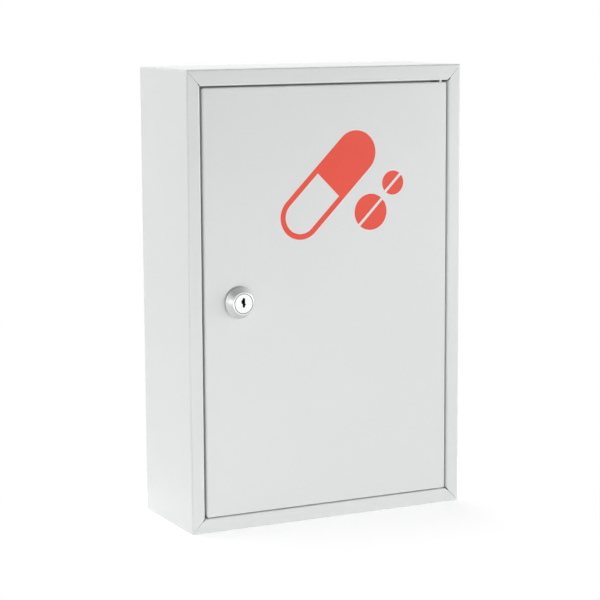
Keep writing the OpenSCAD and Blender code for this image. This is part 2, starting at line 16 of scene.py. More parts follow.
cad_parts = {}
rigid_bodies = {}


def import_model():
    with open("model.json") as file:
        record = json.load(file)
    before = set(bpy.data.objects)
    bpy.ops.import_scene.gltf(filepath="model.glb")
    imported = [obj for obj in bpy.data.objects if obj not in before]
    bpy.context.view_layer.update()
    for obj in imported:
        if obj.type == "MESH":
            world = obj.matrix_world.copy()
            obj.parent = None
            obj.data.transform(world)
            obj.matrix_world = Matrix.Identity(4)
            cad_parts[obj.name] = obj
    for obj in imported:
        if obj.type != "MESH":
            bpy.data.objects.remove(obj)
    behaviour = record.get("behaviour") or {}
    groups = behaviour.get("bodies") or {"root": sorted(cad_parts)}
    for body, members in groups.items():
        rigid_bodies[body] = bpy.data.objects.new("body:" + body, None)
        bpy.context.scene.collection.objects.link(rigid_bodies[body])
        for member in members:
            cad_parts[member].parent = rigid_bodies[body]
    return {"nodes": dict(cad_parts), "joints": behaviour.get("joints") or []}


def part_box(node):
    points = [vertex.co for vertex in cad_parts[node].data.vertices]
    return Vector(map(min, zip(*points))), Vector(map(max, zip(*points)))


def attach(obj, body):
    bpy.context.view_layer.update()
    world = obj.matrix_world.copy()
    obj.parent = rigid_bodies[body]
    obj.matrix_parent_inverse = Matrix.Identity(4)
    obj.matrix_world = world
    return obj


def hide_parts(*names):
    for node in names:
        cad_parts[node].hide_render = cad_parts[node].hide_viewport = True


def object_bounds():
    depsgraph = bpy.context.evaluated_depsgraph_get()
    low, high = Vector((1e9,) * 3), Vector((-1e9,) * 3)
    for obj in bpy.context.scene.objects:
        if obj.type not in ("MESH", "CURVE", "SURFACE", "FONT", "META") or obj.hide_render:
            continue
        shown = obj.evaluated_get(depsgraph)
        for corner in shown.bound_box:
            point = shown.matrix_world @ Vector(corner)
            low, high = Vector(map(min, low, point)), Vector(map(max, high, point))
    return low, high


bl_info = {
    "name": "Medicine cabinet finishes",
    "version": (1, 0, 0),
    "blender": (4, 5, 0),
    "location": "View3D > Sidebar > Cabinet",
    "description": "Paint, plating, print and studio for a lockable wall cabinet",
    "category": "Object",
}

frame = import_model()
CAD_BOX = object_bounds()
MM = 0.001
TINY = 1e-9  # keeps a division away from nought
WHITE = (1, 1, 1, 1)

# Places that the pieces are set on, taken from the frame.
DOOR_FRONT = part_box("door_panel")[0].y
FLOOR_Z = CAD_BOX[0].z
LOCK_AXIS = next(Vector(j["pos_m"]) for j in frame["joints"] if j["name"] == "lock_turn")

# The printed tablets: the middle of each, across and up from the capsule's, and its width. The score
# over each is a share of the printed line wide.
TABLETS = (((47 * MM, -29 * MM), 36 * MM), ((72 * MM, -1 * MM), 24 * MM))
SCORE_SHARE = 0.5

# The layer of ink: how far its upper edges draw in and its foot sinks into the coat, as shares of its
# thickness, and the most of a band's width that an edge may take.
INK_SHOULDER, INK_SINK, INK_SHOULDER_MOST = 0.35, 0.1, 0.3

# The spot welds, along the shelf angles and round the flange of the back panel.
SHEET = 1 * MM
ANGLE_WELDS, ANGLE_WELD_INSET, ANGLE_WELD_RISE = 3, 11 * MM, 6 * MM
FLANGE_WELD_Y = -7 * MM
FLANGE_WELDS_Z = tuple(z * MM for z in (-200, -140, -30, 30, 140, 200))
FLANGE_WELDS_X = tuple(x * MM for x in (-100, 0, 100))

# The lock's housing. Heights are measured out of the door's front face, along the lock's axis.
HEAD_R, RIM_R = 11 * MM, 0.5 * MM
HEAD_TOP, RING_TOP = 10.4 * MM, 8.6 * MM
SEAT_R, SEAT_H = 9.8 * MM, 9.18 * MM  # 0.02 mm lower than in the solid, clear of the plug's face
BORE_R, BARREL_R, FLATS = 6.5 * MM, 9.5 * MM, 16 * MM
THREAD_TOP, BARREL_END = -5.5 * MM, -12.1 * MM
CHAMFER = 0.4 * MM
LUG_ROOT, LUG_END = BARREL_END + 0.1 * MM, -13.7 * MM
LUG_INNER_R, LUG_OUTER_R, LUG_HALF_ANGLE = 7.8 * MM, 9.1 * MM, math.radians(30)
SHARP_ANGLE = math.radians(32)  # between two faces, from which their edge is sharp

# Painted shade, where shade falls in the lock: a painted shadow line along the trim ring's foot, and
# painted shade down the plug and in the housing's seat. It covers what lies within Radius of the axis,
# and from Height above the door down by Depth. The limits are RECESS_EDGE soft.
RING_FOOT_PAINTED_SHADOW = {"Radius": 30 * MM, "Height": 1.6 * MM, "Depth": 1.0}
PLUG_PAINTED_SHADE = {"Radius": BORE_R, "Height": HEAD_TOP - 0.5 * MM, "Depth": 1.0}
SEAT_PAINTED_SHADE = {"Radius": SEAT_R + 0.2 * MM, "Height": HEAD_TOP + 1 * MM, "Depth": 3 * MM}
RECESS_EDGE = 0.1 * MM

# The studio: the floor's distance below the cabinet and its points along a side, the camera as fitted
# to the photograph, and the lamps as (name, place, the point that it faces, length of its sides).
FLOOR_GAP, FLOOR_POINTS = 0.2 * MM, 9
CAMERA_PLACE = (-0.88824, -1.83591, 0.28845)
CAMERA_YAW, CAMERA_PITCH, CAMERA_ROLL = map(math.radians, (26.4574, -8.5878, -0.3006))
SENSOR_WIDTH, CLIP_START, CLIP_END = 36.0, 0.05, 60
MIDDLE, FOOT = (0, -0.06, 0.0), (0, -0.06, -0.15)
LAMPS = (
    ("left_softbox", (-1.9, -0.7, 0.15), MIDDLE, 1.3),
    ("low_softbox", (-0.16, -0.85, -0.17), FOOT, 0.25),
    ("right_softbox", (1.5, -1.05, 0.0), MIDDLE, 1.5),
    ("top_softbox", (-0.2, 0.8, 1.5), MIDDLE, 1.3),
    ("rear_softbox", (-2.0, 0.65, 0.1), MIDDLE, 1.3),  # at the left, a little behind
)

# The room's light and what a reflection shows of it change towards a direction, from start to end.
LIGHT_FADE = {"towards": (0, 0.6, 0.8), "start": 0.3, "end": 0.8}
MIRRORED_FADE = {"towards": (0, 0.3, 0.954), "start": 0.45, "end": 0.85}

PAINTED = (
    "cabinet_wrapper", "back_panel", "lower_shelf", "upper_shelf",
    "lower_shelf_angles", "upper_shelf_angles", "door_panel",
)
ZINC_PLATED = (
    "lock_washer", "lock_nut", "lock_stop_washer", "lock_cam", "cam_spring_washer", "cam_screw",
    "upper_hinge_pin", "lower_hinge_pin",
)


# ---- Sizes and colours ----

class PaintSettings(bpy.types.PropertyGroup):
    colour: FloatVectorProperty(
        name="Powder coat", description="Colour of the powder coat", subtype="COLOR", size=3,
        min=0, max=1, default=(0.80, 0.82, 0.81))
    roughness: FloatProperty(
        name="Roughness", description="Roughness of the powder coat", min=0, max=1, default=0.20)
    peel_size: FloatProperty(
        name="Orange peel", description="Distance between the soft bumps of the coat",
        subtype="DISTANCE", unit="LENGTH", default=1.8 * MM)
    peel_depth: FloatProperty(
        name="Peel depth", description="Depth of those bumps", subtype="DISTANCE", unit="LENGTH",
        default=0.012 * MM, precision=6)


class SymbolSettings(bpy.types.PropertyGroup):
    ink: FloatVectorProperty(
        name="Ink", description="Colour of the printed symbol", subtype="COLOR", size=3,
        min=0, max=1, default=(0.86, 0.075, 0.040))
    centre_x: FloatProperty(
        name="Across", description="Middle of the capsule, left to right", subtype="DISTANCE",
        unit="LENGTH", default=0)
    centre_z: FloatProperty(
        name="Up", description="Middle of the capsule, above the middle of the cabinet",
        subtype="DISTANCE", unit="LENGTH", default=110 * MM)
    capsule_length: FloatProperty(
        name="Capsule length", description="Length of the printed capsule", subtype="DISTANCE",
        unit="LENGTH", default=130 * MM)
    capsule_width: FloatProperty(
        name="Capsule width", description="Width of the printed capsule", subtype="DISTANCE",
        unit="LENGTH", default=44 * MM)
    tilt: FloatProperty(
        name="Tilt", description="How far the capsule and the tablets' scores are turned from level",
        subtype="ANGLE", unit="ROTATION", default=math.radians(45))
    line: FloatProperty(
        name="Line", description="Width of the printed lines", subtype="DISTANCE",
        unit="LENGTH", default=5.5 * MM)
    ink_thickness: FloatProperty(
        name="Ink thickness", description="Thickness of the layer of ink", subtype="DISTANCE",
        unit="LENGTH", default=0.06 * MM, precision=6)


class LockSettings(bpy.types.PropertyGroup):
    satin: FloatVectorProperty(
        name="Satin chrome", description="Colour of the trim ring's satin chrome", subtype="COLOR",
        size=3, min=0, max=1, default=(0.70, 0.71, 0.71))
    satin_roughness: FloatProperty(
        name="Satin", description="Roughness of the satin chrome", min=0, max=1, default=0.30)
    satin_depth: FloatProperty(
        name="Brushing", description="Depth of the fine rings in the satin chrome",
        subtype="DISTANCE", unit="LENGTH", default=0.006 * MM, precision=6)
    bright: FloatVectorProperty(
        name="Bright chrome", description="Colour of the lock's bright chrome", subtype="COLOR",
        size=3, min=0, max=1, default=(0.92, 0.92, 0.92))
    bright_roughness: FloatProperty(
        name="Polish", description="Roughness of the bright chrome", min=0, max=1, default=0.20)
    bright_depth: FloatProperty(
        name="Turning", description="Depth of the fine rings in the bright chrome",
        subtype="DISTANCE", unit="LENGTH", default=0.002 * MM, precision=6)
    # Painted shade: the dark colour that stands for the shade in the lock's recesses and along the trim
    # ring's foot.
    shade: FloatVectorProperty(
        name="Recesses", description="Colour of the metal deep in the lock, where no plating shows",
        subtype="COLOR", size=3, min=0, max=1, default=(0.08, 0.08, 0.08))
    zinc: FloatVectorProperty(
        name="Zinc", description="Colour of the zinc plate", subtype="COLOR", size=3,
        min=0, max=1, default=(0.60, 0.63, 0.66))
    # The brass colour is darkened as painted shade, for the wafers deep in the keyway.
    brass: FloatVectorProperty(
        name="Brass", description="Colour of the brass wafers", subtype="COLOR", size=3,
        min=0, max=1, default=(0.42, 0.31, 0.15))
    thread_pitch: FloatProperty(
        name="Thread pitch", description="Pitch of the thread on the lock's barrel",
        subtype="DISTANCE", unit="LENGTH", default=1.0 * MM)
    thread_depth: FloatProperty(
        name="Thread depth", description="Depth of that thread", subtype="DISTANCE",
        unit="LENGTH", default=0.5 * MM)


class FixingSettings(bpy.types.PropertyGroup):
    aluminium: FloatVectorProperty(
        name="Aluminium", description="Colour of the shelf rivets", subtype="COLOR", size=3,
        min=0, max=1, default=(0.66, 0.67, 0.68))
    nylon: FloatVectorProperty(
        name="Nylon", description="Colour of the pivot bushes", subtype="COLOR", size=3,
        min=0, max=1, default=(0.80, 0.79, 0.73))


class WeldSettings(bpy.types.PropertyGroup):
    width: FloatProperty(
        name="Width", description="Width of each mark", subtype="DISTANCE", unit="LENGTH",
        default=5 * MM)
    rise: FloatProperty(
        name="Rise", description="Height of the ring round each mark", subtype="DISTANCE",
        unit="LENGTH", default=0.10 * MM, precision=6)


class StageSettings(bpy.types.PropertyGroup):
    lens: FloatProperty(
        name="Lens", description="Focal length, for a frame 36 mm wide", unit="CAMERA",
        default=118.874)
    world_light: FloatProperty(
        name="Room", description="Strength of the light from all round", min=0, default=0.225)
    ceiling_light: FloatProperty(
        name="Ceiling", description="Strength of the light from above and behind", min=0,
        default=0.62)
    ceiling_tone: FloatProperty(
        name="Ceiling tone", description="How bright the ceiling looks in a reflection", min=0,
        default=0.2)
    lamp_power: FloatVectorProperty(
        name="Lamps", description="Power of the lamps, in watts: left, low, right, top and rear",
        size=5, min=0, default=(1.5, 1.85, 18.8, 16.5, 15.0))
    floor_size: FloatProperty(
        name="Floor", description="Length of each side of the floor", subtype="DISTANCE",
        unit="LENGTH", default=14.0)
    floor_tone: FloatProperty(
        name="Floor tone", description="Brightness of the floor's own colour", min=0, max=1,
        default=0.86)
    floor_glow: FloatProperty(
        name="Floor glow", description="How much whiter the floor looks than it is lit", min=0,
        default=0.40)
    floor_light: FloatProperty(
        name="Floor light", description="Strength of the light that comes up from the floor", min=0,
        default=0.22)
    floor_reach: FloatProperty(
        name="Floor reach", description="Distance from the cabinet at which that light ends",
        subtype="DISTANCE", unit="LENGTH", default=300 * MM)
    floor_fade: FloatProperty(
        name="Floor fade", description="Distance from the cabinet at which the floor is plain white",
        subtype="DISTANCE", unit="LENGTH", default=160 * MM)


# ---- Meshes ----

def quad_mesh(name, vertices, quads):
    """A mesh from vertices (n, 3) and quads (m, 4), written as whole arrays."""
    mesh = bpy.data.meshes.new(name)
    mesh.vertices.add(len(vertices))
    mesh.vertices.foreach_set("co", np.asarray(vertices, np.float32).ravel())
    mesh.loops.add(quads.size)
    mesh.loops.foreach_set("vertex_index", np.asarray(quads, np.int32).ravel())
    mesh.polygons.add(len(quads))
    mesh.polygons.foreach_set("loop_start", np.arange(0, quads.size, 4, dtype=np.int32))
    mesh.polygons.foreach_set("loop_total", np.full(len(quads), 4, np.int32))
    mesh.update(calc_edges=True)
    mesh.validate()
    return mesh


def grid_mesh(name, points):
    """A mesh from points[i, j], an (n, m, 3) array: face (i, j) joins points (i, j), (i+1, j),
    (i+1, j+1) and (i, j+1)."""
    index = np.arange(points[..., 0].size).reshape(points.shape[:2])
    quads = np.stack([index[:-1, :-1], index[1:, :-1], index[1:, 1:], index[:-1, 1:]], -1)
    return quad_mesh(name, points.reshape(-1, 3), quads.reshape(-1, 4))


def swept_quads(steps, profile, closed=True):
    """Quads of a profile of that many points, itself a closed loop, carried through that many steps.
    Points are numbered step by step, and closed joins the last step to the first."""
    i = np.arange(steps if closed else steps - 1)[:, None]
    j = np.arange(profile)[None, :]
    i2, j2 = (i + 1) % steps, (j + 1) % profile
    quads = [i * profile + j, i2 * profile + j, i2 * profile + j2, i * profile + j2]
    return np.stack(quads, -1).reshape(-1, 4)


def outward(vertices, quads):
    """The same closed surface with its faces pointing out: they are turned round where the sum of
    a . (b x c) over its triangles, six times its volume, is negative."""
    a, b, c, d = (vertices[quads[:, k]] for k in range(4))
    volume = np.sum(a * np.cross(b, c)) + np.sum(a * np.cross(c, d))
    return vertices, quads if volume > 0 else quads[:, ::-1]


def joined(parts):
    """Vertices and quads of several (vertices, quads) pairs as one pair."""
    offsets = np.cumsum([0] + [len(v) for v, _ in parts[:-1]])
    return (np.concatenate([v for v, _ in parts]),
            np.concatenate([q + o for (_, q), o in zip(parts, offsets)]))


def place(name, mesh, body, material, smooth=True):
    """Links the mesh as an object at the origin, with its material, and lets it ride on the body."""
    for old in [o for o in bpy.data.objects if o.name == name]:
        bpy.data.objects.remove(old)
    piece = bpy.data.objects.new(name, mesh)
    bpy.context.scene.collection.objects.link(piece)
    mesh.materials.append(material)
    mesh.polygons.foreach_set("use_smooth", np.full(len(mesh.polygons), smooth))
    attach(piece, body)
    return piece


# ---- The printed symbol ----

def pill_outline(length, width, samples=192):
    """The outline of a capsule along x: a point at angle a is (offset(a) + r cos a, r sin a), where
    r is half the width and offset is half the straight length, to the right where cos a is positive.
    The samples are spread evenly by angle, with the two straight sides between the quarter points."""
    a = (np.arange(samples) + 0.5) * 2 * np.pi / samples
    r = width / 2
    straight = max(length / 2 - r, 0)
    return np.stack([np.sign(np.cos(a)) * straight + r * np.cos(a), r * np.sin(a)], -1)


def half_pill(length, width, samples=160):
    """The filled half of a capsule, as an outline and its core. The outline follows the lower side,
    the round end (straight + r cos a, r sin a), the upper side, and the line across the middle. The
    core is the outline drawn in to the capsule's axis, with x kept between 0.3 r and straight."""
    r, straight = width / 2, length / 2 - width / 2
    a = np.linspace(-np.pi / 2, np.pi / 2, samples)
    end = np.stack([straight + r * np.cos(a), r * np.sin(a)], -1)
    back = np.stack([np.zeros(samples), np.linspace(r, -r, samples)], -1)
    side = np.linspace(0, 1, samples)[:, None]
    lower = back[-1] + side * (end[0] - back[-1])
    upper = end[-1] + side * (back[0] - end[-1])
    outline = np.concatenate([lower[:-1], end[:-1], upper[:-1], back[:-1]])
    core = np.stack([np.clip(outline[:, 0], 0.3 * r, straight), np.zeros(len(outline))], -1)
    return outline, core


def half_disc(size, gap, samples=96):
    """One half of a scored tablet, as an outline and its core: the outline is the arc r (cos a, sin a)
    from one side of the score to the other, closed by the score's edge at gap / 2, and the core is the
    line of points (x / 2, 0.4 r) inside it."""
    r = size / 2
    start = math.asin(gap / 2 / r)
    a = np.linspace(start, np.pi - start, samples)
    arc = r * np.stack([np.cos(a), np.sin(a)], -1)
    edge = np.linspace(arc[-1], arc[0], samples // 2)
    outline = np.concatenate([arc[:-1], edge[:-1]])
    core = np.stack([0.5 * outline[:, 0], np.full(len(outline), 0.4 * r)], -1)
    return outline, core


def turned(points, angle, centre):
    """The (x, z) points turned by an angle about the origin, then moved to the centre."""
    c, s = math.cos(angle), math.sin(angle)
    return points @ np.array([[c, s], [-s, c]]) + np.asarray(centre)


def ink_band(outer, inner, thickness):
    """A closed flat band between two outlines of n points in the door's plane, (x, z) each. Its cross
    section is a low slab: inner foot, inner shoulder, outer shoulder and outer foot. A shoulder is a
    thickness above its foot, and draws in from it by INK_SHOULDER of the thickness, or by
    INK_SHOULDER_MOST of the band's width where that is less."""
    width = np.linalg.norm(outer - inner, axis=1, keepdims=True)
    soft = np.minimum(INK_SHOULDER * thickness / np.maximum(width, TINY), INK_SHOULDER_MOST)
    plan = np.stack([inner, inner + soft * (outer - inner), outer + soft * (inner - outer), outer], 1)
    height = np.array([0.0, thickness, thickness, 0.0])
    points = np.empty(plan.shape[:2] + (3,))
    points[..., 0], points[..., 2] = plan[..., 0], plan[..., 1]
    points[..., 1] = DOOR_FRONT + INK_SINK * thickness - height[None, :]
    return outward(points.reshape(-1, 3), swept_quads(len(outer), 4))


# ---- The lock's housing ----

def lathe(profile, columns, limit=None):
    """Points of a turned surface about the lock's axis: a profile of (radius, height above the door),
    as (n, 2) or with a radius for each column as (n, columns, 2), carried round by the angle t from
    0 to 2 pi: (r cos t, -height, r sin t) from the axis. limit(t) caps the radius, as a flat does."""
    t = np.arange(columns) * 2 * np.pi / columns
    rows = profile[:, None, :] if profile.ndim == 2 else profile
    rows = np.broadcast_to(rows, (len(profile), columns, 2))
    r, height = rows[..., 0], rows[..., 1]
    if limit is not None:
        r = np.minimum(r, limit(t)[None, :])
    points = np.stack([r * np.cos(t), -height, r * np.sin(t)], -1)
    return points + np.array(LOCK_AXIS)


def flat_radius(t):
    """The distance from the axis to the barrel's two flats, in the direction t: half the distance
    between them over |cos t|."""
    return FLATS / 2 / np.maximum(np.abs(np.cos(t)), TINY)


def housing_surface(lock, columns=288, rim_steps=9, barrel_rows=100):
    """The housing as one closed turned surface. Its profile runs up the plug's bore, over the head's
    seat and rounded rim, down the head's side and the barrel, and back along the barrel's end. The
    barrel's radius is capped by flat_radius(t). Its thread goes in from the crest by depth times
    1.25 |2 f - 1| - 0.125, kept between 0 and 1, where f is the fraction of height / pitch - t / 2 pi.
    It fades in over one pitch below THREAD_TOP, and a chamfer at 45 degrees ends the barrel."""
    arc = np.linspace(0, np.pi / 2, rim_steps)
    rim = np.stack([HEAD_R - RIM_R + RIM_R * np.sin(arc), HEAD_TOP - RIM_R + RIM_R * np.cos(arc)], -1)
    bore = np.array([(BORE_R, BARREL_END), (BORE_R, SEAT_H), (SEAT_R, SEAT_H), (SEAT_R, HEAD_TOP)])
    upper = np.concatenate([bore, rim, [(HEAD_R, RING_TOP)]])
    height = np.concatenate([[RING_TOP], np.linspace(THREAD_TOP, BARREL_END, barrel_rows)])
    t = np.arange(columns) * 2 * np.pi / columns
    f = np.mod(height[:, None] / lock.thread_pitch - t[None, :] / (2 * np.pi), 1.0)
    groove = lock.thread_depth * np.clip(1.25 * np.abs(2 * f - 1) - 0.125, 0, 1)
    fade = np.clip((THREAD_TOP - height) / lock.thread_pitch, 0, 1)
    chamfer = np.clip(CHAMFER - (height - BARREL_END), 0, None)
    radius = BARREL_R - np.maximum(groove * fade[:, None], chamfer[:, None])
    barrel = np.stack([radius, np.broadcast_to(height[:, None], radius.shape)], -1)
    points = np.concatenate([lathe(upper, columns), lathe(barrel, columns, flat_radius)])
    return outward(points.reshape(-1, 3), swept_quads(len(points), columns))


def lug_surface(steps=24):
    """The lug that limits the turn: a bar with a four-cornered section, carried over the top of the
    barrel through t = 90 degrees plus or minus its half angle, and closed by a face at each end."""
    t = np.linspace(np.pi / 2 - LUG_HALF_ANGLE, np.pi / 2 + LUG_HALF_ANGLE, steps)
    section = np.array([(LUG_INNER_R, LUG_END), (LUG_INNER_R, LUG_ROOT),
                        (LUG_OUTER_R, LUG_ROOT), (LUG_OUTER_R, LUG_END)])
    r = np.minimum(section[None, :, 0], flat_radius(t)[:, None])
    depth = np.broadcast_to(-section[:, 1], r.shape)
    points = np.stack([r * np.cos(t)[:, None], depth, r * np.sin(t)[:, None]], -1)
    points = (points + np.array(LOCK_AXIS)).reshape(-1, 3)
    sides = swept_quads(steps, 4, closed=False)
    ends = np.array([[3, 2, 1, 0], np.arange(4) + 4 * (steps - 1)])
    return outward(points, np.concatenate([sides[:, ::-1], ends]))


# ---- The spot welds ----

def weld_marks(places, width, rise, columns=32, rings=22):
    """Shallow rings in paint. Where d is the distance from a mark's middle as a share of its radius,
    its height is rise * (exp(-((d - 0.7) / 0.17)^2) + 0.25 (1 - d^2)) - 0.2 rise d^2: a ring with a
    low rise inside it, and an edge that dips into the sheet. The underside is flat, a rise below the
    sheet. Each place is a point and the direction that its surface faces, and a mark's point is
    place + d radius (across cos t + other sin t) + height normal."""
    innermost, ring_at, ring_spread, middle, dip = 0.01, 0.7, 0.17, 0.25, 0.2
    d = np.linspace(1, innermost, rings)
    ridge = np.exp(-((d - ring_at) / ring_spread) ** 2)
    height = rise * (ridge + middle * (1 - d ** 2)) - dip * rise * d ** 2
    profile = np.concatenate([[(innermost, -rise), (1, -rise)], np.stack([d, height], -1)])
    t = np.arange(columns) * 2 * np.pi / columns
    at = np.array([p for p, _ in places])
    normal = np.array([n for _, n in places], float)
    across = np.roll(normal, 1, axis=1)
    other = np.cross(normal, across)
    ring = across[:, None] * np.cos(t)[None, :, None] + other[:, None] * np.sin(t)[None, :, None]
    marks = (at[:, None, None] + ring[:, None] * (profile[:, 0] * width / 2)[None, :, None, None]
             + normal[:, None, None] * profile[:, 1][None, :, None, None])
    quads = swept_quads(len(profile), columns)
    return joined([outward(mark.reshape(-1, 3), quads) for mark in marks])


# ---- Shader nodes ----

def add(tree, kind, links=(), **settings):
    """A node with its settings, and with sockets linked or set from (socket, source or value)."""
    node = tree.nodes.new(kind)
    for key, value in settings.items():
        setattr(node, key, value)
    for key, source in links:
        if isinstance(source, bpy.types.NodeSocket):
            tree.links.new(source, node.inputs[key])
        else:
            node.inputs[key].default_value = source
    return node


def maths(tree, operation, *numbers):
    """The result of a Math node, where each number is a value or a socket."""
    return add(tree, "ShaderNodeMath", enumerate(numbers), operation=operation).outputs[0]


def vector_maths(tree, operation, *vectors):
    """The result of a Vector Math node, which is a number for a length or a dot product."""
    node = add(tree, "ShaderNodeVectorMath", enumerate(vectors), operation=operation)
    return node.outputs["Value" if operation in ("LENGTH", "DOT_PRODUCT") else "Vector"]


def noise(tree, vector, **sockets):
    """The height of a noise at the vector, with its other sockets linked or set."""
    return add(tree, "ShaderNodeTexNoise", [("Vector", vector), *sockets.items()]).outputs["Fac"]


def smooth_step(tree, value, start, end, low, high):
    """A number that goes smoothly from low to high as the value goes from start to end."""
    return add(tree, "ShaderNodeMapRange", [
        ("Value", value), ("From Min", start), ("From Max", end), ("To Min", low), ("To Max", high)],
        interpolation_type="SMOOTHSTEP").outputs["Result"]


def mixed_shaders(tree, factor, first, second):
    """The first shader's output where the factor is 0, and the second's where it is 1."""
    return add(tree, "ShaderNodeMixShader", [
        (0, factor), (1, first.outputs[0]), (2, second.outputs[0])])


def object_place(tree):
    """Where a point lies in the cabinet's frame."""
    return add(tree, "ShaderNodeTexCoord").outputs["Object"]


def about_axis(tree, axis):
    """A point as seen from an axis along Y: the vector to it, its distance and its Y."""
    local = vector_maths(tree, "SUBTRACT", object_place(tree), axis)
    radius = vector_maths(tree, "LENGTH", vector_maths(tree, "MULTIPLY", local, (1, 0, 1)))
    return local, radius, add(tree, "ShaderNodeSeparateXYZ", [(0, local)]).outputs["Y"]


# ---- Shader groups ----

def new_group(name, inputs, outputs):
    """An empty shader group with named sockets: inputs as (name, type, default), and outputs as
    (name, type). Gives the group, the node of its inputs and the node of its outputs."""
    group = bpy.data.node_groups.new(name, "ShaderNodeTree")
    for label, kind, default in inputs:
        group.interface.new_socket(label, in_out="INPUT", socket_type=kind).default_value = default
    for label, kind in outputs:
        group.interface.new_socket(label, in_out="OUTPUT", socket_type=kind)
    return group, group.nodes.new("NodeGroupInput"), group.nodes.new("NodeGroupOutput")


def made_once(build):
    """Lets a function that builds the group of its own name build it only once."""
    return lambda: bpy.data.node_groups.get(build.__name__) or build()


@made_once
def drifting_colour():
    """Group: a colour whose brightness drifts slowly over a surface. It is multiplied by 1 + Amount *
    (broad + 0.35 fine - 0.675), from a noise at Scale and one at 14 times Scale. Each is about 0.5
    on average, so the bracket is about nought."""
    fine_times, fine_share = 14.0, 0.35
    group, given, out = new_group("drifting_colour", [
        ("Colour", "NodeSocketColor", (0.8, 0.8, 0.8, 1)), ("Amount", "NodeSocketFloat", 0.02),
        ("Scale", "NodeSocketFloat", 10.0)], [("Colour", "NodeSocketColor")])
    where = object_place(group)
    broad = noise(group, where, Scale=given.outputs["Scale"], Detail=2.0)
    fine = noise(group, where, Scale=maths(group, "MULTIPLY", given.outputs["Scale"], fine_times),
                 Detail=4.0)
    both = maths(group, "MULTIPLY_ADD", fine, fine_share, broad)
    centred = maths(group, "SUBTRACT", both, 0.5 * (1 + fine_share))
    nudge = maths(group, "MULTIPLY_ADD", centred, given.outputs["Amount"], 1.0)
    scaled = add(group, "ShaderNodeVectorMath", [(0, given.outputs["Colour"]), ("Scale", nudge)],
                 operation="SCALE")
    group.links.new(scaled.outputs[0], out.inputs["Colour"])
    return group


@made_once
def turned_rings():
    """Group: fine rings about an axis along Y, as a lathe or a circular brush leaves. A noise in one
    dimension reads the distance from the axis plus the height above the door, times Rings per metre,
    and a second noise smears it a little."""
    group, given, out = new_group("turned_rings", [
        ("Axis", "NodeSocketVector", (0, 0, 0)), ("Rings per metre", "NodeSocketFloat", 4000.0)],
        [("Height", "NodeSocketFloat")])
    local, radius, y = about_axis(group, given.outputs["Axis"])
    rings = maths(group, "MULTIPLY", maths(group, "SUBTRACT", radius, y),
                  given.outputs["Rings per metre"])
    rows = maths(group, "MULTIPLY_ADD", noise(group, local, Scale=300.0), 1.5, rings)
    height = add(group, "ShaderNodeTexNoise", [("W", rows), ("Scale", 1.0), ("Detail", 3.0)],
                 noise_dimensions="1D")
    group.links.new(height.outputs["Fac"], out.inputs["Height"])
    return group


@made_once
def lock_recess_painted_shade():
    """Group: painted shade for what lies deep in the lock, where shade falls: within Radius of its axis,
    below Height above the door, and down to Depth under that height. The limits are RECESS_EDGE soft."""
    group, given, out = new_group("lock_recess_painted_shade", [
        ("Colour", "NodeSocketColor", (0.9, 0.9, 0.9, 1)),
        ("Dark", "NodeSocketColor", (0.1, 0.1, 0.1, 1)), ("Radius", "NodeSocketFloat", 0.01),
        ("Height", "NodeSocketFloat", 0.01), ("Depth", "NodeSocketFloat", 1.0)],
        [("Colour", "NodeSocketColor")])
    _, radius, y = about_axis(group, LOCK_AXIS)
    inside = maths(group, "SUBTRACT", given.outputs["Radius"], radius)
    # Height above the door is -Y, so this is the height limit less the height.
    below = maths(group, "ADD", given.outputs["Height"], y)
    above = maths(group, "SUBTRACT", given.outputs["Depth"], below)
    least = maths(group, "MINIMUM", maths(group, "MINIMUM", inside, below), above)
    # The mask of the painted shade.
    mask = add(group, "ShaderNodeMapRange", [("Value", least), ("From Max", RECESS_EDGE)])
    mix = add(group, "ShaderNodeMix", [("Factor", mask.outputs["Result"]), (6, given.outputs["Colour"]),
                                       (7, given.outputs["Dark"])], data_type="RGBA")
    group.links.new(mix.outputs[2], out.inputs["Colour"])
    return group


# ---- Materials ----

def new_material(name, sockets):
    """A material with one Principled shader whose sockets are set from the given values."""
    if name in bpy.data.materials:
        bpy.data.materials.remove(bpy.data.materials[name])
    material = bpy.data.materials.new(name)
    material.use_nodes = True
    principled = material.node_tree.nodes["Principled BSDF"]
    for key, value in sockets.items():
        principled.inputs[key].default_value = value
    return material, material.node_tree, principled


def use_group(tree, group, **values):
    """A node of the group, with its inputs set from the given values."""
    node = tree.nodes.new("ShaderNodeGroup")
    node.node_tree = group
    for key, value in values.items():
        node.inputs[key.replace("_", " ")].default_value = value
    return node


def drifting(tree, colour, **drift):
    """The colour from the group that makes it drift."""
    return use_group(tree, drifting_colour(), Colour=(*colour, 1), **drift).outputs["Colour"]


def wire_roughness(tree, principled, mask, low, high):
    """Roughness from low to high as the mask goes from 0.2 to 0.8, which a noise seldom leaves."""
    span = add(tree, "ShaderNodeMapRange", [("Value", mask), ("From Min", 0.2), ("From Max", 0.8),
                                            ("To Min", low), ("To Max", high)])
    tree.links.new(span.outputs["Result"], principled.inputs["Roughness"])


def wire_bump(tree, principled, height, distance):
    """Bumps from a height between 0 and 1, over the given distance."""
    bump = add(tree, "ShaderNodeBump", [("Height", height), ("Distance", distance)])
    tree.links.new(bump.outputs["Normal"], principled.inputs["Normal"])


def grained(name, colour, drift, grain, roughness, depth, sockets):
    """A finish whose colour drifts, and whose fine grain shifts the roughness from its lowest to its
    highest value and raises bumps of the given depth. drift holds the values of drifting_colour,
    grain those of a noise, and sockets those of the shader."""
    material, tree, principled = new_material(name, sockets)
    tree.links.new(drifting(tree, colour, **drift), principled.inputs["Base Color"])
    bumps = noise(tree, object_place(tree), **grain)
    wire_roughness(tree, principled, bumps, *roughness)
    wire_bump(tree, principled, bumps, depth)
    return material


